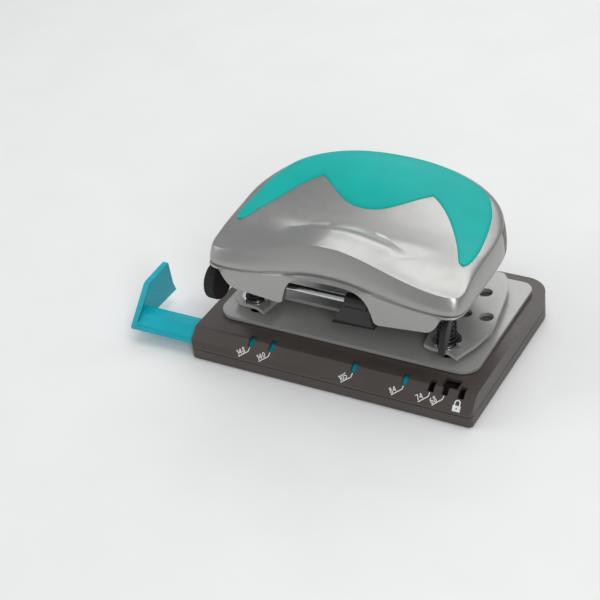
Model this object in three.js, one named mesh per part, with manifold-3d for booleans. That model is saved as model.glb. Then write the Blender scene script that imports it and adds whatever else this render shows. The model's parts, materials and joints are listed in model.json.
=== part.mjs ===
// Two-hole paper punch with a sliding paper guide, a hinged chip tray and a wide
// palm handle. Millimetres, +Z up, X along the base, +Y towards the back. The origin
// is the middle of the underside that the punch stands on.
import * as THREE from 'three';
import { mergeVertices } from 'three/addons/utils/BufferGeometryUtils.js';
import Module from 'manifold-3d';

const wasm = await Module();
wasm.setup();

// ---- driving dimensions -------------------------------------------------------
const GAP = 0.3; // clearance between separate pieces
const HOLE_PITCH = 80; // standard distance between the two punched holes
const PIN_RADIUS = 2.75;
const STOP_BEHIND_PINS = 12; // paper edge to hole centre

const base = {
  half: 58.5, depth: 80, seam: 4.5, top: 11.5, wall: 1.4, creaseY: 5.5, frontCorner: 2, backCorner: 10,
};
const FRONT = -base.depth / 2; // the base's front edge
const back = (distance) => FRONT + distance; // a place measured from the front edge
const housingBottom = base.seam + GAP;

const bed = { half: 53.8, front: 13.8, back: 74, bottom: base.top + GAP, thickness: 1.5, corner: 7 };
const bedTop = bed.bottom + bed.thickness;
const deck = { bottom: 15.7, top: 17.2, back: 72.5, throatBack: 28, holeRadius: 2.7 };
const pinY = back(22.4);
const pinX = HOLE_PITCH / 2;
const stopY = pinY + STOP_BEHIND_PINS;
const punchHole = PIN_RADIUS + 0.35; // in the die and in the deck
const rivetPlaces = [[-32, back(46)], [32, back(46)], [-14, back(66)], [14, back(66)]];
const rivetHole = 1.8;

const pivot = { y: back(62), z: 34, radius: 2.5, half: 33 };
const driveBar = { y: pinY, z: 38.7, radius: 2.2, half: 44.6 };
const pin = { tip: 15.9, top: 33, capTop: 36.2, capRadius: 4.6 };
const spring = { inner: 3.05, outer: 3.75, bottom: deck.top + GAP, top: pin.top - GAP };

const guide = { bottom: 5.1, top: 9.7, front: 1.8, back: 12.5, outer: -87, stopFace: -84.4, end: 32.4 };
const markReach = 115.2; // stop face to the window that is being read
const paperLengths = [148.5, 139.7, 105, 84.4, 74, 68.5, 62.3]; // stop face to the middle, per mark
const windows = paperLengths.map((length) => markReach - length);
const hinge = { y: back(82), z: 4.65, pin: 0.9, bore: 1.2, radius: 1.9 };

const shell = { wall: 2.2, middleY: 40, half: 51.5, front: 31.6, rear: 37, skirt: 30, seamY: 51, seamZ: 59 };

const colours = {
  silver: [0xa6a6a1, 0.38, 0.55],
  steel: [0xc9ccce, 0.25, 0.9],
  teal: [0x15a8a2, 0.45, 0],
  brown: [0x4a4340, 0.5, 0],
  black: [0x17171a, 0.5, 0],
  spring: [0x1e1e20, 0.35, 0.8],
  rubber: [0x222222, 0.9, 0],
};

// ---- solids ------------------------------------------------------------------
function toSolid(geometry) {
  const plain = geometry.index ? geometry.toNonIndexed() : geometry.clone();
  plain.deleteAttribute('normal');
  plain.deleteAttribute('uv');
  const merged = mergeVertices(plain, 1e-4);
  const mesh = new wasm.Mesh({
    numProp: 3,
    vertProperties: new Float32Array(merged.attributes.position.array),
    triVerts: new Uint32Array(merged.index.array),
  });
  mesh.merge();
  return new wasm.Manifold(mesh);
}

function toGeometry(solid) {
  const mesh = solid.getMesh();
  const geometry = new THREE.BufferGeometry();
  geometry.setAttribute('position', new THREE.BufferAttribute(new Float32Array(mesh.vertProperties), 3));
  geometry.setIndex(new THREE.BufferAttribute(new Uint32Array(mesh.triVerts), 1));
  geometry.computeVertexNormals();
  return geometry;
}

const solidOf = (thing) => (thing.isBufferGeometry ? toSolid(thing) : thing);
const join = (first, ...rest) => rest.reduce((sum, next) => sum.add(solidOf(next)), solidOf(first));
const cut = (first, ...rest) => rest.reduce((left, next) => left.subtract(solidOf(next)), solidOf(first));
const common = (first, second) => solidOf(first).intersect(solidOf(second));

function box(x0, x1, y0, y1, z0, z1) {
  const geometry = new THREE.BoxGeometry(x1 - x0, y1 - y0, z1 - z0);
  return geometry.translate((x0 + x1) / 2, (y0 + y1) / 2, (z0 + z1) / 2);
}

function rodZ(radius, x, y, z0, z1, sides = 24) {
  const geometry = new THREE.CylinderGeometry(radius, radius, z1 - z0, sides);
  return geometry.rotateX(Math.PI / 2).translate(x, y, (z0 + z1) / 2);
}

function rodX(radius, x0, x1, y, z, sides = 24) {
  const geometry = new THREE.CylinderGeometry(radius, radius, x1 - x0, sides);
  return geometry.rotateZ(Math.PI / 2).translate((x0 + x1) / 2, y, z);
}

function ringZ(inner, outer, x, y, z0, z1, sides = 24) {
  const corners = [[inner, z0], [outer, z0], [outer, z1], [inner, z1], [inner, z0]];
  const geometry = new THREE.LatheGeometry(corners.map((corner) => new THREE.Vector2(...corner)), sides);
  return geometry.rotateX(Math.PI / 2).translate(x, y, 0);
}

const shapeOf = (points) => new THREE.Shape(points.map((point) => new THREE.Vector2(...point)));

function plate(shape, z0, z1, curveSegments = 8) {
  const geometry = new THREE.ExtrudeGeometry(shape, { depth: z1 - z0, bevelEnabled: false, curveSegments });
  return geometry.translate(0, 0, z0);
}

const flatEnds = { bevelEnabled: false, curveSegments: 8 };

// A shape drawn as (y, z), carried along X.
function alongX(shape, x0, x1) {
  const geometry = new THREE.ExtrudeGeometry(shape, { ...flatEnds, depth: x1 - x0 });
  const axes = [[0, 1, 0], [0, 0, 1], [1, 0, 0]].map((axis) => new THREE.Vector3(...axis));
  return geometry.applyMatrix4(new THREE.Matrix4().makeBasis(...axes)).translate(x0, 0, 0);
}

// A shape drawn as (x, z), carried along Y.
function alongY(shape, y0, y1) {
  const geometry = new THREE.ExtrudeGeometry(shape, { ...flatEnds, depth: y1 - y0 });
  const axes = [[1, 0, 0], [0, 0, 1], [0, -1, 0]].map((axis) => new THREE.Vector3(...axis));
  return geometry.applyMatrix4(new THREE.Matrix4().makeBasis(...axes)).translate(0, y1, 0);
}

// A rectangle in plan with its own radius at the front and the back corners.
function roundedPlan(half, y0, y1, frontRadius, backRadius) {
  const shape = new THREE.Shape();
  shape.moveTo(-half + frontRadius, y0);
  shape.lineTo(half - frontRadius, y0);
  shape.absarc(half - frontRadius, y0 + frontRadius, frontRadius, -Math.PI / 2, 0);
  shape.lineTo(half, y1 - backRadius);
  shape.absarc(half - backRadius, y1 - backRadius, backRadius, 0, Math.PI / 2);
  shape.lineTo(-half + backRadius, y1);
  shape.absarc(-half + backRadius, y1 - backRadius, backRadius, Math.PI / 2, Math.PI);
  shape.lineTo(-half, y0 + frontRadius);
  shape.absarc(-half + frontRadius, y0 + frontRadius, frontRadius, Math.PI, 1.5 * Math.PI);
  return shape;
}

const object = new THREE.Group();

function add(name, thing, colour) {
  const [color, roughness, metalness] = colours[colour];
  const geometry = thing.isBufferGeometry ? thing : toGeometry(thing);
  const mesh = new THREE.Mesh(geometry, new THREE.MeshStandardMaterial({ color, roughness, metalness }));
  mesh.name = name;
  object.add(mesh);
}

const rivetHoles = () => rivetPlaces.map(([x, y]) => rodZ(rivetHole, x, y, 5, 20, 16));
const mirrored = (geometry) => toGeometry(solidOf(geometry).scale([-1, 1, 1]));
const bothSides = [['left', -1], ['right', 1]];

// ---- chip tray, its rubber mat and its hinge -----------------------------------
const basePlan = (inset) => roundedPlan(
  base.half - inset,
  FRONT + inset,
  -FRONT - inset,
  Math.max(base.frontCorner - inset, 0.6),
  base.backCorner - inset,
);
const mat = { inset: 5, thickness: 1, proud: 0.4 };
const trayFloor = 2.2;

function knuckle(side, x0, x1, webBottom, webTop) {
  const [low, high] = side < 0 ? [-x1, -x0] : [x0, x1];
  const web = box(low, high, -FRONT - 1, hinge.y, webBottom, webTop);
  return join(rodX(hinge.radius, low, high, hinge.y, hinge.z, 16), web);
}

const hingeBore = rodX(hinge.bore, -60, 60, hinge.y, hinge.z, 16);
const trayKnuckle = { from: 42, to: 46 };
const housingKnuckle = { from: 36, to: 41.7 };

function chipTray() {
  const tub = cut(
    plate(basePlan(0), mat.proud, base.seam),
    plate(basePlan(1.6), trayFloor, base.seam + 1),
    plate(basePlan(mat.inset - GAP), 0, mat.thickness + GAP),
  );
  const chipWall = box(-base.half + 1, base.half - 1, back(16), back(17.2), trayFloor - 0.2, base.seam);
  const lugs = bothSides.map(([, side]) => knuckle(side, trayKnuckle.from, trayKnuckle.to, 3, 4.5));
  return cut(join(tub, chipWall, ...lugs), hingeBore);
}

add('chip_tray', chipTray(), 'brown');
add('non_slip_mat', plate(basePlan(mat.inset), 0, mat.thickness), 'rubber');
for (const [name, side] of bothSides) {
  const ends = [side * (housingKnuckle.from + 0.4), side * (trayKnuckle.to - 0.4)].sort((a, b) => a - b);
  add(`tray_hinge_pin_${name}`, rodX(hinge.pin, ...ends, hinge.y, hinge.z, 12), 'steel');
}

// ---- base housing -----------------------------------------------------------
function housingProfile(inset, bottom) {
  const top = base.top - inset;
  return shapeOf([
    [FRONT + inset, bottom],
    [FRONT + inset, 5.8 + inset * 0.2],
    [back(1.4) + inset * 0.8, 7.8],
    [back(base.creaseY) + inset * 0.55, top - 0.25],
    [back(base.creaseY + 1.2) + inset * 0.55, top],
    [-FRONT - inset, top],
    [-FRONT - inset, bottom],
  ]);
}

function markWindow(x) {
  return box(x - 1.2, x + 1.2, back(3.5), back(8.2), 7, base.top + 1);
}

function baseHousing() {
  const outer = common(
    alongX(housingProfile(0, housingBottom), -base.half, base.half),
    plate(basePlan(0), housingBottom, base.top + 1),
  );
  const inside = common(
    alongX(housingProfile(base.wall, 0), -base.half, base.half),
    plate(basePlan(base.wall), -1, base.top),
  );
  const barDoor = alongX(guideProfile(GAP), -base.half - 1, -base.half + 3);
  const chipHoles = bothSides.map(([, side]) => rodZ(4.5, side * pinX, pinY, 5, 20));
  const hookNotch = box(44.6, 50.8, back(6), back(11.2), 7, 20);
  const lugs = bothSides.map(([, side]) => knuckle(side, housingKnuckle.from, housingKnuckle.to, 4.8, 6.2));
  const openings = [barDoor, ...chipHoles, hookNotch, ...rivetHoles(), ...windows.map(markWindow)];
  const hollow = cut(outer, inside, ...openings);
  return cut(join(hollow, ...lugs), hingeBore);
}

add('base_housing', baseHousing(), 'brown');

// ---- bed plate, throat spacer and raised deck ---------------------------------
function bedPlate() {
  const plan = roundedPlan(bed.half, back(bed.front), back(bed.back), bed.corner, 5);
  const dies = bothSides.map(([, side]) => rodZ(punchHole, side * pinX, pinY, 5, 20, 32));
  return cut(plate(plan, bed.bottom, bedTop), ...dies, ...rivetHoles());
}

// One nose of the deck, with its point a little to the right of the punch.
const noseOutline = (x) => [
  [x - 9.5, back(deck.throatBack)], [x - 8.2, back(19.4)], [x - 5, back(18.5)],
  [x + 2, back(18.2)], [x + 6.2, back(16.2)],
];

function deckPlate() {
  const outline = [
    ...[[-51.4, back(38)], [-50.6, back(27)], [-48.6, back(20.4)]],
    ...noseOutline(-pinX).slice(2),
    [-31.6, back(deck.throatBack)],
    ...noseOutline(pinX),
    ...[[49.6, back(25.5)], [51.5, back(34)], [51.4, back(39)], [49.4, back(52)], [47.5, back(61.5)]],
    ...[[45.3, back(68)], [42, back(71.6)], [38, back(deck.back)]],
    ...[[-38, back(deck.back)], [-42, back(71.6)], [-45.3, back(68)], [-47.5, back(61.5)], [-49.4, back(52)]],
  ];
  const sightHoles = bothSides.flatMap(([, side]) => [
    [side * 46.6, back(42.9)], [side * 38.2, back(42.4)], [side * 40.2, back(57.3)],
  ]).map(([x, y]) => rodZ(deck.holeRadius, x, y, 15, 20));
  const pinHoles = bothSides.map(([, side]) => rodZ(punchHole, side * pinX, pinY, 15, 20, 32));
  return cut(plate(shapeOf(outline), deck.bottom, deck.top), ...sightHoles, ...pinHoles, ...rivetHoles());
}

function throatSpacer() {
  const plan = roundedPlan(34.5, stopY, back(70), 1, 4);
  return cut(plate(plan, bedTop + GAP, deck.bottom - GAP), ...rivetHoles());
}

function rivet([x, y]) {
  return join(
    rodZ(1.5, x, y, 9, deck.top + 0.5, 16),
    rodZ(2.7, x, y, deck.top + GAP, deck.top + 1.3, 16),
    rodZ(2.7, x, y, 8.6, base.top - base.wall - GAP, 16),
  );
}

add('bed_plate', bedPlate(), 'silver');
add('throat_spacer', throatSpacer(), 'steel');
add('punch_deck', deckPlate(), 'silver');
rivetPlaces.forEach((place, i) => add(`deck_rivet_${i + 1}`, rivet(place), 'steel'));

// ---- cheeks, axle and clips ----------------------------------------------------
const cheek = { inside: 28, thick: 2, foot: 8, y0: back(50), y1: back(70) };

function cheekPlate() {
  const outline = new THREE.Shape();
  outline.moveTo(cheek.y0, deck.top + GAP);
  outline.lineTo(cheek.y1, deck.top + GAP);
  outline.lineTo(pivot.y + 6.5, pivot.z);
  outline.absarc(pivot.y, pivot.z, 6.5, 0, Math.PI);
  outline.closePath();
  const upright = alongX(outline, cheek.inside, cheek.inside + cheek.thick);
  const [footBottom, footTop] = [deck.top + GAP, deck.top + 1.8];
  const foot = box(cheek.inside - cheek.foot, cheek.inside + 1, cheek.y0, cheek.y1, footBottom, footTop);
  return cut(
    join(upright, foot),
    rodX(pivot.radius + GAP, 20, 40, pivot.y, pivot.z),
    box(10, 29, back(62), back(71), deck.top, deck.top + 3),
  );
}

const clipAt = cheek.inside + cheek.thick + 0.5;
add('cheek_right', cheekPlate(), 'steel');
add('cheek_left', mirrored(cheekPlate()), 'steel');
add('pivot_axle', rodX(pivot.radius, -pivot.half, pivot.half, pivot.y, pivot.z), 'steel');

const axleClip = () => cut(
  rodX(4.4, clipAt, clipAt + 1, pivot.y, pivot.z),
  rodX(pivot.radius + 0.15, 20, 40, pivot.y, pivot.z),
);
add('axle_clip_right', axleClip(), 'spring');
add('axle_clip_left', mirrored(axleClip()), 'spring');

// ---- punch stations -----------------------------------------------------------
function punchPin(x) {
  return join(
    rodZ(PIN_RADIUS, x, pinY, pin.tip, pin.top + 1, 32),
    rodZ(pin.capRadius, x, pinY, pin.top, pin.top + 1.2, 32),
    rodZ(3.4, x, pinY, pin.top + 1, pin.capTop, 32),
  );
}

function guideSleeve(x) {
  const collar = ringZ(4.15, 5.4, x, pinY, deck.top + GAP, deck.top + 2.4);
  return cut(solidOf(collar), box(x - 2, x + 6, pinY - 8, pinY - 1, 15, 25));
}

for (const [name, side] of bothSides) {
  const x = side * pinX;
  add(`punch_pin_${name}`, punchPin(x), 'steel');
  const coil = ringZ(spring.inner, spring.outer, x, pinY, spring.bottom, spring.top);
  add(`return_spring_${name}`, coil, 'spring');
  add(`spring_seat_${name}`, guideSleeve(x), 'steel');
}

// ---- paper guide ---------------------------------------------------------------
function guideProfile(grow) {
  return shapeOf([
    [back(guide.front) - grow, guide.bottom - grow],
    [back(guide.front) - grow, 6.3],
    [back(2.5) - grow * 0.6, 6.4 + grow],
    [back(3) - grow * 0.6, 7.4 + grow],
    [back(7.4) - grow * 0.6, guide.top + grow],
    [back(guide.back) + grow, guide.top + grow],
    [back(guide.back) + grow, guide.bottom - grow],
  ]);
}

// The upright blade at the guide's end that the paper's side edge rests on.
function stopBlade() {
  return shapeOf([
    [back(guide.front), guide.bottom],
    [back(guide.front), 6.3],
    [back(14.4), 18.4],
    [back(15.6), 18.9],
    [back(29.2), 19.6],
    [back(30.2), 9.4],
    [back(31.6), guide.bottom],
  ]);
}

function paperGuide() {
  const blade = alongX(stopBlade(), guide.outer, guide.stopFace);
  return join(alongX(guideProfile(0), guide.stopFace - 1, guide.end), blade);
}

add('paper_guide', paperGuide(), 'teal');

// ---- handle shell ---------------------------------------------------------------
const smooth = (from, to, value) => {
  const t = Math.min(Math.max((value - from) / (to - from), 0), 1);
  return t * t * (3 - 2 * t);
};

// Height of the middle of the handle's top, by distance behind the base's front edge.
const crownLine = new THREE.SplineCurve([
  [8, 55.8], [18, 53.8], [28, 52.8], [36, 54.7], [41, 56.4], [46, 58.4], [52, 60.3], [58, 61.4],
  [64, 62.3], [72, 62.6], [80, 62.4],
].map((point) => new THREE.Vector2(...point)));

function crownHeight(distance) {
  let low = 0;
  let high = 1;
  for (let step = 0; step < 24; step += 1) {
    const middle = (low + high) / 2;
    if (crownLine.getPoint(middle).x < distance) low = middle;
    else high = middle;
  }
  return crownLine.getPoint(low).y;
}

// The swell is the part of the front lip that bulges up in the middle.
const swell = (x, distance, width) => Math.exp(-((x / width) ** 2)) * (1 - smooth(20, 40, distance));
const ridgeHeight = (x, distance) => 46 + 12 * swell(x, distance, 30) + 4 * smooth(15, 50, distance);
const grooveHeight = (x, distance) => 40 + 5.8 * swell(x, distance, 25);

function topHeight(x, distance, reach) {
  const crown = crownHeight(distance) - 0.0031 * smooth(20, 55, distance) * x * x;
  const blend = smooth(11, 24 + 10 * smooth(18, 40, Math.abs(x)), distance);
  const rim = ridgeHeight(x, distance);
  const full = rim * (1 - blend) + crown * blend;
  return rim + (full - rim) * (1 - reach ** 7.3) ** 0.3;
}

// A closed plan outline: square at the front, round at the back. The points gather at the corners.
function planPoint(angle, half, front, rear) {
  const gather = (value) => Math.sign(value) * Math.abs(value) ** 0.55;
  const c = gather(Math.cos(angle));
  const s = gather(Math.sin(angle));
  const power = s < 0 ? 13 : 2.7;
  const scale = (Math.abs(c) ** power + Math.abs(s) ** power) ** (-1 / power);
  return [half * c * scale, (s < 0 ? front : rear) * s * scale];
}

// A closed body of the handle's outside, grown outwards by `grow`.
function handleBody(grow, bottom, around, reaches) {
  const { middleY, half, front, rear } = shell;
  const rings = [];
  const ring = (across, ahead, behind, height) => {
    const points = [];
    for (let i = 0; i < around; i += 1) {
      const angle = (2 * Math.PI * (i + 0.5)) / around;
      const [x, y] = planPoint(angle, across + grow, ahead + grow, behind + grow);
      points.push([x, back(middleY) + y, height(x, middleY + y)]);
    }
    rings.push(points);
  };
  ring(half + 0.4, front + 1.6, rear, () => bottom);
  ring(half + 0.4, front + 1, rear, (x, d) => Math.max(grooveHeight(x, d) - 1, bottom + 0.5));
  ring(half + 0.5, front, rear, (x, d) => grooveHeight(x, d) + grow * 0.3);
  const lipHeight = (x, d) => grooveHeight(x, d) * 0.45 + ridgeHeight(x, d) * 0.55 + grow * 0.5;
  ring(half + 0.4, front - 0.6, rear, lipHeight);
  for (const reach of reaches) {
    const height = (x, d) => topHeight(x, d, reach) + grow;
    ring(half * reach - 0.4, (front - 1.6) * reach, rear * reach, height);
  }
  const positions = rings.flat(2);
  const topIndex = positions.length / 3;
  positions.push(0, back(middleY), topHeight(0, middleY, 0) + grow);
  positions.push(0, back(middleY), bottom);
  const faces = [];
  for (let r = 0; r < rings.length - 1; r += 1) {
    for (let i = 0; i < around; i += 1) {
      const j = (i + 1) % around;
      const [a, b] = [r * around + i, r * around + j];
      faces.push(a, b, b + around, a, b + around, a + around);
    }
  }
  const last = (rings.length - 1) * around;
  for (let i = 0; i < around; i += 1) {
    const j = (i + 1) % around;
    faces.push(last + i, last + j, topIndex);
    faces.push(j, i, topIndex + 1);
  }
  const geometry = new THREE.BufferGeometry();
  geometry.setAttribute('position', new THREE.Float32BufferAttribute(positions, 3));
  geometry.setIndex(faces);
  return geometry;
}

const OUTSIDE = [64, [1, 0.99, 0.965, 0.92, 0.85, 0.74, 0.58, 0.4, 0.2]];
const INSIDE = [40, [1, 0.97, 0.88, 0.66, 0.34]];

// What lies under the front skirt: two lobes with an arch between them.
function underSkirt() {
  const shape = new THREE.Shape();
  shape.moveTo(-60, 20);
  shape.lineTo(-60, 39.8);
  shape.lineTo(-44.8, 39.8);
  shape.quadraticCurveTo(-43.4, 33.4, -38, 32.8);
  shape.lineTo(-21.5, 31.2);
  shape.quadraticCurveTo(-18.6, 31, -18.2, 33.4);
  shape.bezierCurveTo(-17.4, 42, -12, 44, 0, 44.2);
  shape.bezierCurveTo(12, 44, 17.4, 42, 18.2, 33.4);
  shape.quadraticCurveTo(18.6, 31, 21.5, 31.2);
  shape.lineTo(38, 32.8);
  shape.quadraticCurveTo(43.4, 33.4, 44.8, 39.8);
  shape.lineTo(60, 39.8);
  shape.lineTo(60, 20);
  return alongY(shape, back(0), back(24));
}

const underSides = () => alongX(shapeOf([
  [back(11.5), 20], [back(11.5), 39.8], [back(82), 41], [back(82), 20],
]), -60, 60);

// Everything behind the seam and below its bowed upper edge.
function rearRegion(gap) {
  const shape = new THREE.Shape();
  shape.moveTo(-60, 10);
  shape.lineTo(-60, shell.seamZ - 12.6 + gap);
  shape.quadraticCurveTo(0, shell.seamZ + 12.6 + gap, 60, shell.seamZ - 12.6 + gap);
  shape.lineTo(60, 10);
  return alongY(shape, back(shell.seamY) - gap, back(90));
}

function handleWalls() {
  const hollow = cut(handleBody(0, shell.skirt, ...OUTSIDE), handleBody(-shell.wall, 10, ...INSIDE));
  return cut(hollow, underSkirt(), underSides());
}

// The inlay's front edge has a tongue between two cusps and ends in two horns.
function inlayPlan() {
  const rightHalf = new THREE.CurvePath();
  const at = (x, distance) => new THREE.Vector2(x, back(distance));
  rightHalf.add(new THREE.CubicBezierCurve(at(0, 40.4), at(9, 40.4), at(14, 46), at(22.6, 52.8)));
  rightHalf.add(new THREE.CubicBezierCurve(at(22.6, 52.8), at(31, 48.5), at(38, 39), at(42.8, 28.6)));
  rightHalf.add(new THREE.CubicBezierCurve(at(42.8, 28.6), at(44, 25.4), at(47, 24.6), at(47.8, 28.4)));
  rightHalf.add(new THREE.SplineCurve([at(47.8, 28.4), at(48.1, 36), at(46.6, 48), at(43.9, 57.5)]));
  rightHalf.add(new THREE.SplineCurve([at(43.9, 57.5), at(38, 65.6), at(27, 70), at(14, 72), at(0, 72.4)]));
  const right = rightHalf.getPoints(6);
  const left = right.slice(1, -1).reverse().map((point) => new THREE.Vector2(-point.x, point.y));
  return new THREE.Shape([...right, ...left]);
}

function handleInlay() {
  const skin = cut(handleBody(1, 45, ...OUTSIDE), handleBody(GAP, 40, ...OUTSIDE));
  return common(skin, plate(inlayPlan(), 46.5, 90));
}

add('handle_shell', cut(handleWalls(), rearRegion(GAP)), 'silver');
add('handle_back', common(handleWalls(), rearRegion(0)), 'brown');
add('handle_inlay', handleInlay(), 'teal');

// ---- handle mechanism -------------------------------------------------------------
const carrier = { bottom: 42.2, top: 44, front: back(15.6), rear: back(67) };

function handleCarrier() {
  const inner = handleBody(-shell.wall - 0.5, 10, ...INSIDE);
  const slab = box(-60, 60, carrier.front, carrier.rear, carrier.bottom, carrier.top);
  return cut(common(inner, slab), ...screwPlaces.map(([x, y]) => rodZ(1.4, x, y, 40, 50, 16)));
}

function leverArm() {
  const outline = new THREE.Shape();
  outline.moveTo(back(18.5), 41.9);
  outline.lineTo(back(18.5), 37.6);
  outline.lineTo(back(21), 35);
  outline.lineTo(back(27), 35);
  outline.lineTo(back(52), 32.5);
  outline.lineTo(pivot.y - 2, pivot.z - 5.4);
  outline.absarc(pivot.y, pivot.z, 5.8, -1.9, 1.2);
  outline.lineTo(pivot.y + 1, 41.9);
  outline.closePath();
  return cut(
    alongX(outline, 24, 26),
    rodX(pivot.radius + GAP, 20, 40, pivot.y, pivot.z),
    rodX(driveBar.radius + GAP, 20, 40, driveBar.y, driveBar.z),
  );
}

const screwPlaces = [[-36, back(32)], [36, back(32)], [-31, back(52)], [31, back(52)]];
const screw = ([x, y]) => join(
  rodZ(2.6, x, y, carrier.bottom - 1.9, carrier.bottom - GAP, 16),
  rodZ(1.1, x, y, carrier.bottom - 1, carrier.top + 2, 12),
);

const crossRod = { y: back(14.4), z: 33.6, radius: 1.5, from: -51, to: 36 };

// The cross rod hangs on two eyes under the shell's front wall.
function rodHanger(x) {
  const eye = join(
    rodX(3, x - 1.2, x + 1.2, crossRod.y, crossRod.z),
    box(x - 1.2, x + 1.2, crossRod.y - 0.2, crossRod.y + 3, crossRod.z, carrier.bottom - GAP),
  );
  return cut(eye, rodX(crossRod.radius + GAP, -50, 50, crossRod.y, crossRod.z));
}

// A stop block that turns on the cross rod's middle, wider at its foot.
function centreBumper() {
  const face = shapeOf([[-2, 23], [16, 24.4], [13.6, crossRod.z], [4.6, crossRod.z]]);
  const side = shapeOf([
    [back(11.4), 25.6], [back(12.6), 23], [back(16.2), 23], [back(17), 33], [back(12), 33],
  ]);
  const block = common(alongY(face, back(10), back(18)), alongX(side, -20, 20));
  const hub = rodX(3, 4.6, 13.6, crossRod.y, crossRod.z);
  return cut(join(block, hub), rodX(crossRod.radius + GAP, -50, 50, crossRod.y, crossRod.z));
}

// The pointed hook that drops through the notch beside the last window.
function lockHook() {
  const side = shapeOf([
    [back(17.2), carrier.bottom - GAP], [back(15.6), carrier.bottom - GAP], [back(15.6), 36.5],
    [back(11.4), 32], [back(9), 27.4], [back(7.4), 23.4], [back(8.6), 22.9],
    [back(12.6), 27], [back(17.2), 33.5],
  ]);
  return alongX(side, 42.8, 45.4);
}

const buffer = { y: back(12.4), z: 30.4, radius: 7.2, from: -52, to: -47.6 };
const endBuffer = () => cut(
  rodX(buffer.radius, buffer.from, buffer.to, buffer.y, buffer.z, 36),
  rodX(crossRod.radius + GAP, -60, 0, crossRod.y, crossRod.z),
);

add('handle_carrier', handleCarrier(), 'black');
add('lever_arm_right', leverArm(), 'steel');
add('lever_arm_left', mirrored(leverArm()), 'steel');
add('drive_bar', rodX(driveBar.radius, -driveBar.half, driveBar.half, driveBar.y, driveBar.z), 'steel');
screwPlaces.forEach((place, i) => add(`carrier_screw_${i + 1}`, screw(place), 'steel'));
add('cross_rod', rodX(crossRod.radius, crossRod.from, crossRod.to, crossRod.y, crossRod.z), 'steel');
add('rod_hanger_left', rodHanger(-30), 'black');
add('rod_hanger_right', rodHanger(30), 'black');
add('centre_bumper', centreBumper(), 'black');
add('lock_hook', lockHook(), 'black');
add('end_buffer', endBuffer(), 'rubber');

export default object;
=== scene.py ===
# The looks of the hole punch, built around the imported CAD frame. Metres, +Z up.
import json
import math

import bmesh
import bpy
from mathutils import Matrix, Vector


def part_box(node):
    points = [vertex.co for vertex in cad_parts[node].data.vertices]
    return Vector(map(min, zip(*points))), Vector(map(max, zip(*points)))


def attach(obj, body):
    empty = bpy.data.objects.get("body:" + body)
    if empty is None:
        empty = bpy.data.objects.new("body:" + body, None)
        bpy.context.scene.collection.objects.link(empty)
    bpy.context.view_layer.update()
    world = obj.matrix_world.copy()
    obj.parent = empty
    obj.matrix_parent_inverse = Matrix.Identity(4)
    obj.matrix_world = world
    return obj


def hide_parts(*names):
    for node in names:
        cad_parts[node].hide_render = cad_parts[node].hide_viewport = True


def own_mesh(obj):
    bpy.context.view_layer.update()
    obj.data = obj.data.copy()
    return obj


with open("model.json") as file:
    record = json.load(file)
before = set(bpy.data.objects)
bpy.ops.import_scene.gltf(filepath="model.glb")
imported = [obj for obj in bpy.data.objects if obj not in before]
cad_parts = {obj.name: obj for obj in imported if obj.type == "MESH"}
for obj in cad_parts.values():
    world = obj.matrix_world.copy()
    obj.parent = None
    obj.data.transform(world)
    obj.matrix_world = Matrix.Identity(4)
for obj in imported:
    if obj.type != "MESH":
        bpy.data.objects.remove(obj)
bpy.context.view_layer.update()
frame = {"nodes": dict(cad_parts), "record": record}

MM = 0.001
FRONT = -40.0  # the base's front edge; "back" distances below are measured from it, in mm


# ---- camera, first because everything is judged through it ------------------------
def add_camera():
    azimuth, elevation, roll = (math.radians(angle) for angle in (32.03, 34.85, 6.62))
    right = Vector((math.cos(azimuth), math.sin(azimuth), 0))
    ahead = Vector((
        -math.sin(azimuth) * math.cos(elevation),
        math.cos(azimuth) * math.cos(elevation),
        -math.sin(elevation),
    ))
    down = ahead.cross(right)
    turned_right = right * math.cos(roll) + down * math.sin(roll)
    turned_down = down * math.cos(roll) - right * math.sin(roll)
    camera = bpy.data.objects.new("camera", bpy.data.cameras.new("camera"))
    camera.data.lens = 96
    camera.data.sensor_width = 36
    camera.data.clip_start = 0.01
    basis = Matrix((turned_right, -turned_down, -ahead)).transposed().to_4x4()
    camera.matrix_world = Matrix.Translation(Vector((242.68, -438.51, 367.45)) * MM) @ basis
    bpy.context.scene.collection.objects.link(camera)
    bpy.context.scene.camera = camera


add_camera()


# ---- materials -----------------------------------------------------------------
def linear(red, green, blue):
    def one(value):
        value /= 255
        return value / 12.92 if value <= 0.04045 else ((value + 0.055) / 1.055) ** 2.4
    return one(red), one(green), one(blue), 1.0


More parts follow.
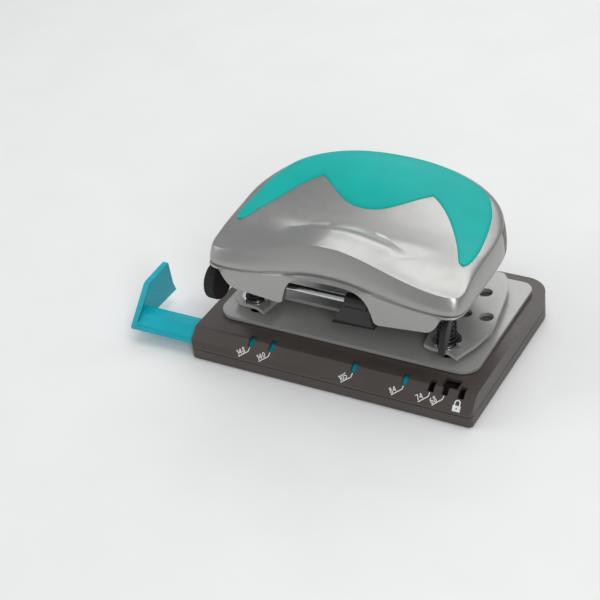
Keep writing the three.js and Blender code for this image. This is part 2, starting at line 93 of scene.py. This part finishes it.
class Nodes:
    """A small helper that adds and links nodes of one material."""

    def __init__(self, name, **values):
        self.material = bpy.data.materials.new(name)
        self.material.use_nodes = True
        self.tree = self.material.node_tree
        self.shader = self.tree.nodes["Principled BSDF"]
        self.place = self.add("ShaderNodeTexCoord").outputs["Object"]
        for socket, value in values.items():
            self.shader.inputs[socket.replace("_", " ")].default_value = value

    def add(self, kind, **settings):
        node = self.tree.nodes.new(kind)
        for name, value in settings.items():
            setattr(node, name, value)
        return node

    def link(self, output, target):
        self.tree.links.new(output, target)

    def noise(self, scale, detail=3.0, stretch=None):
        source = self.place
        if stretch:
            mapping = self.add("ShaderNodeMapping")
            mapping.inputs["Scale"].default_value = stretch
            self.link(source, mapping.inputs["Vector"])
            source = mapping.outputs["Vector"]
        node = self.add("ShaderNodeTexNoise")
        node.inputs["Scale"].default_value = scale
        node.inputs["Detail"].default_value = detail
        self.link(source, node.inputs["Vector"])
        return node.outputs["Fac"]

    def ramp(self, value, low, high):
        node = self.add("ShaderNodeMapRange")
        node.inputs["From Min"].default_value = 0.3
        node.inputs["From Max"].default_value = 0.7
        node.inputs["To Min"].default_value = low
        node.inputs["To Max"].default_value = high
        self.link(value, node.inputs["Value"])
        return node.outputs["Result"]

    def colour(self, value, first, second):
        node = self.add("ShaderNodeValToRGB")
        node.color_ramp.elements[0].position = 0.35
        node.color_ramp.elements[0].color = first
        node.color_ramp.elements[1].position = 0.65
        node.color_ramp.elements[1].color = second
        self.link(value, node.inputs["Fac"])
        self.link(node.outputs["Color"], self.shader.inputs["Base Color"])

    def bump(self, value, depth, strength=1.0, under=None):
        node = self.add("ShaderNodeBump")
        node.inputs["Strength"].default_value = strength
        node.inputs["Distance"].default_value = depth
        self.link(value, node.inputs["Height"])
        if under:
            self.link(under, node.inputs["Normal"])
        self.link(node.outputs["Normal"], self.shader.inputs["Normal"])
        return node.outputs["Normal"]

    def roughness(self, value, low, high):
        self.link(self.ramp(value, low, high), self.shader.inputs["Roughness"])


def shades(colour, spread):
    low = tuple(channel * (1 - spread) for channel in colour[:3]) + (1.0,)
    high = tuple(min(channel * (1 + spread), 1) for channel in colour[:3]) + (1.0,)
    return low, high


def silver_paint():
    m = Nodes("silver_paint", Metallic=0.8, Coat_Weight=0.2, Coat_Roughness=0.2)
    m.colour(m.noise(5200, 1.0), *shades(linear(164, 164, 161), 0.06))
    m.roughness(m.noise(260, 4.0), 0.3, 0.38)
    m.bump(m.noise(3800, 1.0), 0.00001, 0.35, under=m.bump(m.noise(420, 2.0), 0.00002, 0.25))
    return m.material


def plate_silver():
    m = Nodes("plate_silver", Metallic=0.25, Coat_Weight=0.3, Coat_Roughness=0.2)
    m.colour(m.noise(4800, 1.0), *shades(linear(166, 165, 163), 0.06))
    m.roughness(m.noise(300, 4.0), 0.3, 0.4)
    m.bump(m.noise(3000, 2.0), 0.00001, 0.4)
    return m.material


# Charcoal plastic of the base and chip tray; on the handle's rear wall the same colour is painted shade.
def charcoal_plastic():
    m = Nodes("charcoal_plastic", Specular_IOR_Level=0.45)
    m.colour(m.noise(90, 4.0), *shades(linear(72, 65, 61), 0.05))
    m.roughness(m.noise(700, 3.0), 0.3, 0.42)
    m.bump(m.noise(2400, 2.0), 0.00002, 0.5)
    return m.material


def soft_teal():
    m = Nodes("soft_teal", Specular_IOR_Level=0.22)
    m.colour(m.noise(70, 3.0), *shades(linear(0, 170, 162), 0.04))
    m.roughness(m.noise(900, 3.0), 0.42, 0.52)
    m.bump(m.noise(2600, 2.0), 0.00002, 0.5)
    return m.material


def gloss_teal():
    m = Nodes("gloss_teal", Specular_IOR_Level=0.4)
    m.colour(m.noise(80, 3.0), *shades(linear(0, 164, 180), 0.05))
    m.roughness(m.noise(500, 3.0), 0.26, 0.36)
    m.bump(m.noise(700, 1.0), 0.00001, 0.15)
    return m.material


def black_plastic():
    m = Nodes("black_plastic", Specular_IOR_Level=0.5)
    m.colour(m.noise(120, 3.0), *shades(linear(34, 32, 32), 0.12))
    m.roughness(m.noise(800, 3.0), 0.3, 0.44)
    m.bump(m.noise(2200, 2.0), 0.00002, 0.5)
    return m.material


def black_rubber():
    m = Nodes("black_rubber", Specular_IOR_Level=0.3)
    m.colour(m.noise(200, 4.0), *shades(linear(30, 29, 29), 0.15))
    m.roughness(m.noise(900, 3.0), 0.62, 0.8)
    m.bump(m.noise(1600, 4.0), 0.00005, 0.6)
    return m.material


def bright_steel():
    m = Nodes("bright_steel", Metallic=1.0)
    m.colour(m.noise(60, 3.0), *shades(linear(206, 208, 208), 0.05))
    m.roughness(m.noise(40, 3.0, stretch=(2, 90, 90)), 0.16, 0.3)
    m.bump(m.noise(60, 2.0, stretch=(2, 90, 90)), 0.00001, 0.3)
    return m.material


def dark_spring():
    m = Nodes("dark_spring", Metallic=0.85)
    m.colour(m.noise(300, 3.0), *shades(linear(58, 57, 58), 0.15))
    m.roughness(m.noise(500, 3.0), 0.26, 0.4)
    m.bump(m.noise(1500, 2.0), 0.00001, 0.4)
    return m.material


def white_print():
    m = Nodes("white_print", Specular_IOR_Level=0.4)
    m.colour(m.noise(900, 4.0), *shades(linear(226, 226, 224), 0.06))
    m.roughness(m.noise(900, 3.0), 0.45, 0.6)
    m.bump(m.noise(2600, 2.0), 0.00001, 0.4)
    return m.material


SILVER = silver_paint()
PLATE = plate_silver()
CHARCOAL_AND_SHADE = charcoal_plastic()
TEAL = soft_teal()
GUIDE_TEAL = gloss_teal()
BLACK = black_plastic()
RUBBER = black_rubber()
STEEL = bright_steel()
SPRING = dark_spring()
PRINT = white_print()

BODY_OF = {node: body for body, nodes in frame["record"]["behaviour"]["bodies"].items() for node in nodes}


# ---- pieces --------------------------------------------------------------------
def new_object(name, mesh, material):
    piece = bpy.data.objects.new(name, mesh)
    mesh.materials.clear()
    mesh.materials.append(material)
    bpy.context.scene.collection.objects.link(piece)
    return piece


def mesh_object(name, points, faces, material):
    mesh = bpy.data.meshes.new(name)
    mesh.from_pydata([tuple(value * MM for value in point) for point in points], [], faces)
    mesh.validate()
    return new_object(name, mesh, material)


def apply_modifiers(piece):
    depsgraph = bpy.context.evaluated_depsgraph_get()
    mesh = bpy.data.meshes.new_from_object(piece.evaluated_get(depsgraph))
    piece.modifiers.clear()
    piece.data = mesh


def face_outwards(piece):
    work = bmesh.new()
    work.from_mesh(piece.data)
    bmesh.ops.recalc_face_normals(work, faces=work.faces)
    work.to_mesh(piece.data)
    work.free()


def smooth_by_angle(piece, degrees):
    piece.data.shade_smooth()
    piece.data.set_sharp_from_angle(angle=math.radians(degrees))


def softened(node, width, segments, material):
    """A copy of a CAD node with rounded edges, which stands for it."""
    mesh = frame["nodes"][node].data.copy()
    work = bmesh.new()
    work.from_mesh(mesh)
    bmesh.ops.remove_doubles(work, verts=work.verts, dist=0.000005)
    bmesh.ops.dissolve_limit(work, angle_limit=math.radians(0.4), verts=work.verts, edges=work.edges)
    work.to_mesh(mesh)
    work.free()
    piece = new_object(node + "_skin", mesh, material)
    bevel = piece.modifiers.new("bevel", "BEVEL")
    bevel.width = width * MM
    bevel.segments = segments
    bevel.limit_method = "ANGLE"
    bevel.angle_limit = math.radians(26)
    apply_modifiers(piece)
    smooth_by_angle(piece, 32)
    flats = piece.modifiers.new("flats", "WEIGHTED_NORMAL")
    flats.keep_sharp = True
    apply_modifiers(piece)
    finish_piece(piece, BODY_OF[node])
    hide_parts(node)
    return piece


def finish_piece(piece, body):
    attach(piece, body)


# ---- the handle's surface, the same formulas as the CAD, on a finer grid ------------------
MIDDLE, HALF, AHEAD, BEHIND = 40.0, 51.5, 31.6, 37.0
CROWN = [
    (8, 55.8), (18, 53.8), (28, 52.8), (36, 54.7), (41, 56.4), (46, 58.4), (52, 60.3), (58, 61.4),
    (64, 62.3), (72, 62.6), (80, 62.4),
]


def smooth(start, end, value):
    t = min(max((value - start) / (end - start), 0), 1)
    return t * t * (3 - 2 * t)


def crown_height(distance):
    """Catmull-Rom through the crown points."""
    if distance <= CROWN[0][0]:
        return CROWN[0][1]
    for i in range(len(CROWN) - 1):
        if distance <= CROWN[i + 1][0]:
            before, a = CROWN[max(i - 1, 0)], CROWN[i]
            b, after = CROWN[i + 1], CROWN[min(i + 2, len(CROWN) - 1)]
            span = b[0] - a[0]
            t = (distance - a[0]) / span
            slope_a = (b[1] - before[1]) / (b[0] - before[0]) * span
            slope_b = (after[1] - a[1]) / (after[0] - a[0]) * span
            return (
                (2 * t**3 - 3 * t**2 + 1) * a[1] + (t**3 - 2 * t**2 + t) * slope_a
                + (3 * t**2 - 2 * t**3) * b[1] + (t**3 - t**2) * slope_b
            )
    return CROWN[-1][1]


def swell(x, distance, width):
    return math.exp(-((x / width) ** 2)) * (1 - smooth(20, 40, distance))


def ridge_height(x, distance):
    return 46 + 12 * swell(x, distance, 30) + 4 * smooth(15, 50, distance)


def groove_height(x, distance):
    return 40 + 5.8 * swell(x, distance, 25)


def top_height(x, distance, reach):
    crown = crown_height(distance) - 0.0031 * smooth(20, 55, distance) * x * x
    blend = smooth(11, 24 + 10 * smooth(18, 40, abs(x)), distance)
    rim = ridge_height(x, distance)
    full = rim * (1 - blend) + crown * blend
    return rim + (full - rim) * max(1 - reach**7.3, 0) ** 0.3


def plan_point(angle, half, ahead, behind):
    def gather(value):
        return math.copysign(abs(value) ** 0.55, value)
    c, s = gather(math.cos(angle)), gather(math.sin(angle))
    power = 13 if s < 0 else 2.7
    scale = (abs(c) ** power + abs(s) ** power) ** (-1 / power)
    return half * c * scale, (ahead if s < 0 else behind) * s * scale


def reach_of(x, distance):
    y = distance - MIDDLE
    depth = AHEAD - 1.6 if y < 0 else BEHIND
    power = 13 if y < 0 else 2.7
    return min((abs(x / (HALF - 0.4)) ** power + abs(y / depth) ** power) ** (1 / power), 1)


def skirt_bottom(x, distance):
    """The lower edge of the handle's wall: two lobes with an arch between them in front, level behind."""
    if distance > 11.5:
        return 39.8 + 1.2 * (distance - 11.5) / 70
    across = abs(x)
    if across < 17.9:
        return 31.2 + 13 * (1 - (across / 18.3) ** 4.2) ** 0.5
    if across < 20.5:
        return 31.2 + 1.6 * (1 - (across - 17.9) / 2.6) ** 2
    if across < 37.5:
        return 31.1 + (across - 20.5) * 0.1
    if across < 45:
        return 32.8 + 7 * ((across - 37.5) / 7.5) ** 2.6
    return 39.8


def handle_rings(around, inset):
    """Rings of points from the wall's lower edge to the crown; inset moves them inwards."""
    rings = []

    def ring(across, ahead, behind, height):
        row = []
        for i in range(around):
            x, y = plan_point(2 * math.pi * (i + 0.5) / around, across, ahead, behind)
            row.append((x, y + MIDDLE + FRONT, height(x, y + MIDDLE)))
        rings.append(row)

    def below(share):
        def height(x, d):
            low = skirt_bottom(x, d)
            return low + max(groove_height(x, d) - inset * 0.3 - low, 0.4) * share
        return height

    def lip(share):
        def height(x, d):
            rise = groove_height(x, d) * (1 - share) + ridge_height(x, d) * share
            return max(rise - inset * 0.6, below(1)(x, d) + 0.1 + share)
        return height

    half, front, behind = HALF - inset, AHEAD - inset, BEHIND - inset
    for share, out in ((0, 1.6), (0.3, 1.45), (0.6, 1.25), (0.85, 1.05), (0.96, 0.9)):
        ring(half + 0.4, front + out, behind, below(share))
    ring(half + 0.1, front + 0.1, behind - 0.2, lip(0.01))
    ring(half + 0.1, front + 0.1, behind - 0.2, lip(0.05))
    for share, side, out in (
        (0.1, 0.42, 0.55), (0.18, 0.5, 0.62), (0.32, 0.5, 0.45), (0.46, 0.45, 0.12), (0.6, 0.35, -0.3),
        (0.74, 0.2, -0.72), (0.86, 0.0, -1.1), (0.95, -0.2, -1.4),
    ):
        ring(half + side, front + out, behind, lip(share))
    for reach in (
        1, 0.998, 0.994, 0.988, 0.98, 0.97, 0.955, 0.94, 0.92, 0.9, 0.87, 0.84, 0.8, 0.76, 0.71, 0.66, 0.6,
        0.54, 0.47, 0.4, 0.33, 0.26, 0.19, 0.12, 0.05,
    ):
        ring(
            half * reach - 0.4, (front - 1.6) * reach, behind * reach,
            lambda x, d, r=reach: max(top_height(x, d, r) - inset, lip(1)(x, d)),
        )
    return rings


def handle_surface(name, around, material):
    """The handle's wall as a closed solid: its outside, its lower edge and its inside."""
    outside, inside = handle_rings(around, 0.0), handle_rings(around, 1.9)
    points, faces = [], []

    def skin(rings, flip):
        start = len(points)
        for row in rings:
            points.extend(row)
        for r in range(len(rings) - 1):
            for i in range(around):
                j = (i + 1) % around
                a, b = start + r * around, start + (r + 1) * around
                face = (a + i, a + j, b + j, b + i)
                faces.append(face[::-1] if flip else face)
        top = len(points)
        points.append(tuple(sum(point[k] for point in rings[-1]) / around for k in range(3)))
        last = start + (len(rings) - 1) * around
        for i in range(around):
            face = (last + i, last + (i + 1) % around, top)
            faces.append(face[::-1] if flip else face)
        return start

    outer, inner = skin(outside, False), skin(inside, True)
    for i in range(around):
        j = (i + 1) % around
        faces.append((outer + j, outer + i, inner + i, inner + j))
    return mesh_object(name, points, faces, material)


def rear_cutter(name, gap):
    """Everything behind the seam and below its bowed upper edge, as a closed block."""
    half, bottom, steps = 60, 10, 40
    edge, middle = 46.4 + gap, 71.6 + gap
    outline = [(-half, bottom)]
    for i in range(steps + 1):
        t = i / steps
        outline.append((-half + 2 * half * t, edge * (1 - t) ** 2 + 2 * middle * t * (1 - t) + edge * t * t))
    outline.append((half, bottom))
    near, far = FRONT + 51 - gap, FRONT + 90
    points = [(x, near, z) for x, z in outline] + [(x, far, z) for x, z in outline]
    count = len(outline)
    faces = [tuple(range(count)), tuple(reversed(range(count, 2 * count)))]
    faces.extend((i, i + count, (i + 1) % count + count, (i + 1) % count) for i in range(count))
    cutter = mesh_object(name, points, faces, CHARCOAL_AND_SHADE)
    face_outwards(cutter)
    return cutter


def carve(piece, cutter, operation):
    modifier = piece.modifiers.new("carve", "BOOLEAN")
    modifier.operation = operation
    modifier.object = cutter
    modifier.solver = "EXACT"
    apply_modifiers(piece)
    bpy.data.objects.remove(cutter)


def add_handle():
    around = 420
    shell = handle_surface("handle_shell_skin", around, SILVER)
    carve(shell, rear_cutter("seam_cutter", 0.3), "DIFFERENCE")
    smooth_by_angle(shell, 38)
    finish_piece(shell, "handle")
    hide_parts("handle_shell")
    # The handle's rear wall gets the charcoal colour as painted shade, standing for the shadow that falls on
    # the rear half of the handle.
    painted_shade_back = handle_surface("handle_back_painted_shade", around, CHARCOAL_AND_SHADE)
    carve(painted_shade_back, rear_cutter("painted_shade_cutter", 0.0), "INTERSECT")
    smooth_by_angle(painted_shade_back, 38)
    finish_piece(painted_shade_back, "handle")
    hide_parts("handle_back")


# ---- the inlay: a loft between its scalloped front edge and its outer edge --------------
def bezier(a, b, c, d, steps):
    out = []
    for i in range(steps):
        t = i / steps
        out.append(tuple(
            (1 - t) ** 3 * a[k] + 3 * (1 - t) ** 2 * t * b[k] + 3 * (1 - t) * t * t * c[k] + t**3 * d[k]
            for k in (0, 1)
        ))
    return out


def spline_through(points, steps):
    out = []
    for i in range(len(points) - 1):
        p0, p1, p2, p3 = points[max(i - 1, 0)], points[i], points[i + 1], points[min(i + 2, len(points) - 1)]
        for step in range(steps):
            t = step / steps
            out.append(tuple(
                0.5 * (2 * p1[k] + (p2[k] - p0[k]) * t + (2 * p0[k] - 5 * p1[k] + 4 * p2[k] - p3[k]) * t * t
                       + (3 * p1[k] - p0[k] - 3 * p2[k] + p3[k]) * t**3)
                for k in (0, 1)
            ))
    return out


def resample(points, count):
    lengths = [0.0]
    for a, b in zip(points, points[1:]):
        lengths.append(lengths[-1] + math.dist(a, b))
    out, i = [], 0
    for step in range(count):
        target = lengths[-1] * step / (count - 1)
        while i < len(points) - 2 and lengths[i + 1] < target:
            i += 1
        t = (target - lengths[i]) / max(lengths[i + 1] - lengths[i], 1e-9)
        out.append(tuple(points[i][k] + (points[i + 1][k] - points[i][k]) * min(t, 1) for k in (0, 1)))
    return out


def mirror_path(half):
    """A path that starts on the middle line, made whole from left to right."""
    return [(-x, y) for x, y in reversed(half[1:])] + half


def add_inlay():
    inner = bezier((0, 40.4), (9, 40.4), (14, 46), (22.6, 52.8), 30)
    inner += bezier((22.6, 52.8), (31, 48.5), (38, 39), (42.8, 28.6), 30)
    inner += bezier((42.8, 28.6), (43.5, 26.9), (44.4, 26.1), (45.6, 26.0), 8) + [(45.6, 26.0)]
    rear = [(0, 72.4), (14, 72), (27, 70), (38, 65.6), (43.9, 57.5), (46.6, 48), (48.1, 36)]
    outer = spline_through(rear, 12)
    outer += bezier((48.1, 36), (48.1, 31), (48.1, 26), (45.6, 26.0), 12) + [(45.6, 26.0)]
    columns = 221
    inner, outer = resample(mirror_path(inner), columns), resample(mirror_path(outer), columns)
    edge_rows = [(0, -0.25), (0.02, -0.05), (0.18, 0.28), (0.45, 0.46), (0.9, 0.56), (1.6, 0.6)]
    middle_rows, under_rows = 26, 12
    points = []
    for a, b in zip(inner, outer):
        width = max(math.dist(a, b), 1e-6)
        squeeze = min(1, width / 4.2)
        places = [(d * squeeze / width, lift) for d, lift in edge_rows]
        start, end = places[-1][0], 1 - places[-1][0]
        places += [(start + (end - start) * (i + 1) / (middle_rows + 1), 0.6) for i in range(middle_rows)]
        places += [(1 - share, lift) for share, lift in reversed(places[:len(edge_rows)])]
        places += [(1 - (i + 1) / (under_rows + 1), -0.25) for i in range(under_rows)]
        for share, lift in places:
            x, d = (a[k] + (b[k] - a[k]) * share for k in (0, 1))
            points.append((x, d + FRONT, top_height(x, d, reach_of(x, d)) + lift))
    rows = len(places)
    faces = []
    for c in range(columns - 1):
        for r in range(rows):
            k, after = c * rows, (r + 1) % rows
            faces.append((k + r, k + rows + r, k + rows + after, k + after))
    piece = mesh_object("handle_inlay_skin", points, faces, TEAL)
    work = bmesh.new()
    work.from_mesh(piece.data)
    bmesh.ops.remove_doubles(work, verts=work.verts, dist=0.00001)
    bmesh.ops.dissolve_degenerate(work, edges=work.edges, dist=0.00001)
    bmesh.ops.holes_fill(work, edges=[edge for edge in work.edges if edge.is_boundary])
    bmesh.ops.recalc_face_normals(work, faces=work.faces)
    work.to_mesh(piece.data)
    work.free()
    smooth_by_angle(piece, 50)
    finish_piece(piece, "handle")
    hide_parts("handle_inlay")


add_handle()
add_inlay()


# ---- hard parts with rounded edges ---------------------------------------------------
SIDES = ("left", "right")


def each(name, endings, width, segments, material):
    return {f"{name}_{ending}": (width, segments, material) for ending in endings}


# Per node: the rounding in mm, its steps and the material.
ROUNDED = {
    "base_housing": (0.5, 3, CHARCOAL_AND_SHADE),
    "chip_tray": (0.4, 2, CHARCOAL_AND_SHADE),
    "non_slip_mat": (0.2, 2, RUBBER),
    "bed_plate": (1.1, 5, PLATE),
    "punch_deck": (0.35, 3, PLATE),
    "throat_spacer": (0.15, 2, STEEL),
    "paper_guide": (0.35, 3, GUIDE_TEAL),
    "handle_carrier": (0.3, 2, BLACK),
    "centre_bumper": (0.45, 3, BLACK),
    "lock_hook": (0.4, 3, BLACK),
    "end_buffer": (0.7, 4, RUBBER),
    "cross_rod": (0.25, 2, STEEL),
    "drive_bar": (0.3, 2, STEEL),
    "pivot_axle": (0.35, 2, STEEL),
    **each("cheek", SIDES, 0.3, 2, STEEL),
    **each("lever_arm", SIDES, 0.3, 2, STEEL),
    **each("rod_hanger", SIDES, 0.3, 2, BLACK),
    **each("punch_pin", SIDES, 0.25, 2, STEEL),
    **each("spring_seat", SIDES, 0.25, 2, STEEL),
    **each("axle_clip", SIDES, 0.2, 2, SPRING),
    **each("tray_hinge_pin", SIDES, 0.15, 2, STEEL),
    **each("deck_rivet", (1, 2, 3, 4), 0.4, 3, STEEL),
    **each("carrier_screw", (1, 2, 3, 4), 0.4, 3, STEEL),
}
for node, (width, segments, material) in ROUNDED.items():
    softened(node, width, segments, material)


# ---- coil springs ------------------------------------------------------------------
UP = Vector((0, 0, 1))


def coil_spring(side):
    node = "return_spring_" + side
    low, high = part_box(node)
    x, y = (low.x + high.x) / 2 / MM, (low.y + high.y) / 2 / MM
    wire = 0.42
    radius = (high.x - low.x) / 2 / MM - wire
    bottom, top = low.z / MM + wire, high.z / MM - wire
    turns, steps, sides = 8.5, 300, 10
    points, faces = [], []
    for i in range(steps + 1):
        t = i / steps
        angle = 2 * math.pi * turns * t
        climb = smooth(0.03, 0.97, t) * 0.35 + t * 0.65
        outward = Vector((math.cos(angle), math.sin(angle), 0))
        centre = Vector((x, y, bottom + (top - bottom) * climb)) + outward * radius
        for k in range(sides):
            spin = 2 * math.pi * k / sides
            points.append(centre + (outward * math.cos(spin) + UP * math.sin(spin)) * wire)
    for i in range(steps):
        for k in range(sides):
            a, b = i * sides + k, i * sides + (k + 1) % sides
            faces.append((a, a + sides, b + sides, b))
    faces.append(tuple(range(sides)))
    faces.append(tuple(reversed(range(steps * sides, (steps + 1) * sides))))
    piece = mesh_object("coil_spring_" + side, points, faces, SPRING)
    smooth_by_angle(piece, 60)
    finish_piece(piece, "base")
    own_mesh(piece)
    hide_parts(node)


for side in SIDES:
    coil_spring(side)


# ---- printed marks on the base's front slope -------------------------------------------
SLOPE = [(3.5, 9.57), (1.4, 7.8), (0.0, 5.8)]  # back distance and height, from the windows' lower ends down
MARK_REACH = 115.2  # the X that a mark of length 0 would have
DIGITS = {
    "0": [[(0.3, 0), (0.06, 0.2), (0.06, 0.8), (0.3, 1), (0.54, 0.8), (0.54, 0.2), (0.3, 0)]],
    "1": [[(0.02, 0.76), (0.26, 1), (0.26, 0)]],
    "4": [[(0.5, 0), (0.5, 1), (0, 0.3), (0.68, 0.3)]],
    "5": [[(0.58, 1), (0.1, 1), (0.06, 0.55), (0.4, 0.6), (0.6, 0.33), (0.44, 0), (0.16, 0), (0, 0.12)]],
    "6": [[(0.52, 1), (0.2, 0.86), (0.02, 0.4), (0.12, 0.04), (0.44, 0), (0.6, 0.28), (0.44, 0.56),
           (0.1, 0.48)]],
    "7": [[(0, 1), (0.6, 1), (0.2, 0)]],
    "8": [[(0.3, 0.54), (0.08, 0.78), (0.2, 1), (0.42, 1), (0.54, 0.78), (0.3, 0.54), (0.02, 0.27), (0.16, 0),
           (0.46, 0), (0.6, 0.27), (0.3, 0.54)]],
}


def on_slope(x, down, lift):
    """A point on the front slope, `down` mm below the windows' lower ends."""
    for (d0, z0), (d1, z1) in zip(SLOPE, SLOPE[1:]):
        length = math.hypot(d1 - d0, z1 - z0)
        if down <= length or (d1, z1) == SLOPE[-1]:
            t = down / length
            outward = ((z1 - z0) / length, -(d1 - d0) / length)
            return x, d0 + (d1 - d0) * t + outward[0] * lift + FRONT, z0 + (z1 - z0) * t + outward[1] * lift
        down -= length


def ribbon(path, width, points, faces):
    """One painted line: short flat bars along the path, with mitred corners."""
    path = resample(path, max(3, int(sum(math.dist(a, b) for a, b in zip(path, path[1:])) / 0.25)))
    for i, (u, v) in enumerate(path):
        before, after = path[max(i - 1, 0)], path[min(i + 1, len(path) - 1)]
        length = max(math.dist(before, after), 1e-6)
        across = ((after[1] - before[1]) / length, -(after[0] - before[0]) / length)
        for side, lift in ((-1, 0.0), (-1, 0.06), (1, 0.06), (1, 0.0)):
            points.append(on_slope(u + across[0] * side * width / 2, v + across[1] * side * width / 2, lift))
    start = len(points) - 4 * len(path)
    for i in range(len(path) - 1):
        a, b = start + 4 * i, start + 4 * i + 4
        faces.extend((a + k, a + (k + 1) % 4, b + (k + 1) % 4, b + k) for k in range(4))
    last = len(points) - 4
    faces.append((start, start + 1, start + 2, start + 3))
    faces.append((last + 3, last + 2, last + 1, last))


def add_mark(length, drop, run, fall):
    """A leader from the window, bent down to the left, with a plain millimetre number standing on it."""
    text = str(round(length))
    x = MARK_REACH - length
    points, faces = [], []
    elbow, end = (x - 0.15, drop), (x - 0.15 - run, drop + fall)
    ribbon([(x, 0.35), elbow, end], 0.34, points, faces)
    span = math.dist(elbow, end)
    along = ((elbow[0] - end[0]) / span, (elbow[1] - end[1]) / span)
    above = (along[1], -along[0])
    size, cursor = 2.05, 0.15
    stretch = size * 0.78
    for digit in text:
        for stroke in DIGITS[digit]:
            placed = []
            for u, v in stroke:
                step, rise = cursor + u * stretch, 0.42 + v * size
                placed.append((
                    end[0] + along[0] * step + above[0] * rise, end[1] + along[1] * step + above[1] * rise,
                ))
            ribbon(placed, 0.29, points, faces)
        cursor += (max(u for stroke in DIGITS[digit] for u, _ in stroke) + 0.25) * stretch
    piece = mesh_object("scale_mark_" + text, points, faces, PRINT)
    face_outwards(piece)
    finish_piece(piece, "base")


def add_padlock():
    x, points, faces = MARK_REACH - 62.8, [], []
    half, keyhole, row_width = 1.5, 0.25, 0.3
    for row in range(8):
        down = 2.75 + row * 0.27
        if row not in (3, 4):
            ribbon([(x - half, down), (x + half, down)], row_width, points, faces)
        else:
            ribbon([(x - half, down), (x - keyhole, down)], row_width, points, faces)
            ribbon([(x + keyhole, down), (x + half, down)], row_width, points, faces)
    shackle, spring_line, foot = 0.95, 1.6, 2.7
    turns = [math.pi * i / 8 for i in range(9)]
    arch = [(x - shackle, foot)]
    arch += [(x - shackle * math.cos(turn), spring_line - shackle * math.sin(turn)) for turn in turns]
    arch += [(x + shackle, foot)]
    ribbon(arch, 0.42, points, faces)
    piece = mesh_object("lock_mark", points, faces, PRINT)
    face_outwards(piece)
    finish_piece(piece, "base")


# Per mark: the distance it states, how far its leader drops, and the bent end's run and fall, in mm.
MARKS = (
    (148.5, 2.0, 3.6, 2.7), (139.7, 2.0, 3.6, 2.7), (105.0, 2.0, 3.6, 2.7),
    (84.4, 1.6, 3.6, 3.0), (74.0, 1.9, 3.4, 2.8), (68.5, 1.6, 3.4, 3.0),
)
for length, drop, run, fall in MARKS:
    add_mark(length, drop, run, fall)
add_padlock()


# ---- floor, light ---------------------------------------------------------------------
def add_floor():
    m = Nodes("floor", Specular_IOR_Level=0.2)
    m.colour(m.noise(30, 3.0), *shades(linear(236, 236, 235), 0.01))
    m.roughness(m.noise(50, 3.0), 0.7, 0.8)
    reach, level = 3000, -0.05
    corners = [(x * reach, y * reach, level) for x, y in ((-1, -1), (1, -1), (1, 1), (-1, 1))]
    mesh_object("floor", corners, [(0, 1, 2, 3)], m.material)


def area_light(name, place, target, width, height, power):
    data = bpy.data.lights.new(name, "AREA")
    data.shape = "RECTANGLE"
    data.size, data.size_y = width, height
    data.energy = power
    lamp = bpy.data.objects.new(name, data)
    lamp.location = place
    lamp.rotation_euler = (Vector(target) - Vector(place)).to_track_quat("-Z", "Y").to_euler()
    bpy.context.scene.collection.objects.link(lamp)


add_floor()
world = bpy.data.worlds.new("world")
bpy.context.scene.world = world
world.use_nodes = True
world.node_tree.nodes["Background"].inputs["Color"].default_value = (0.95, 0.97, 1.0, 1.0)
world.node_tree.nodes["Background"].inputs["Strength"].default_value = 0.4
area_light("top_soft", (0.1, 0.15, 0.75), (0, 0, 0.03), 0.7, 0.5, 2.2)
area_light("front_right", (0.42, -0.5, 0.42), (0, 0, 0.04), 0.16, 0.4, 1.7)
area_light("left_fill", (-0.6, -0.25, 0.35), (0, 0, 0.03), 0.4, 0.5, 1.0)
area_light("back_rim", (-0.1, 0.6, 0.5), (0, 0, 0.04), 0.6, 0.3, 1.2)
bpy.context.scene.view_settings.view_transform = "Standard"
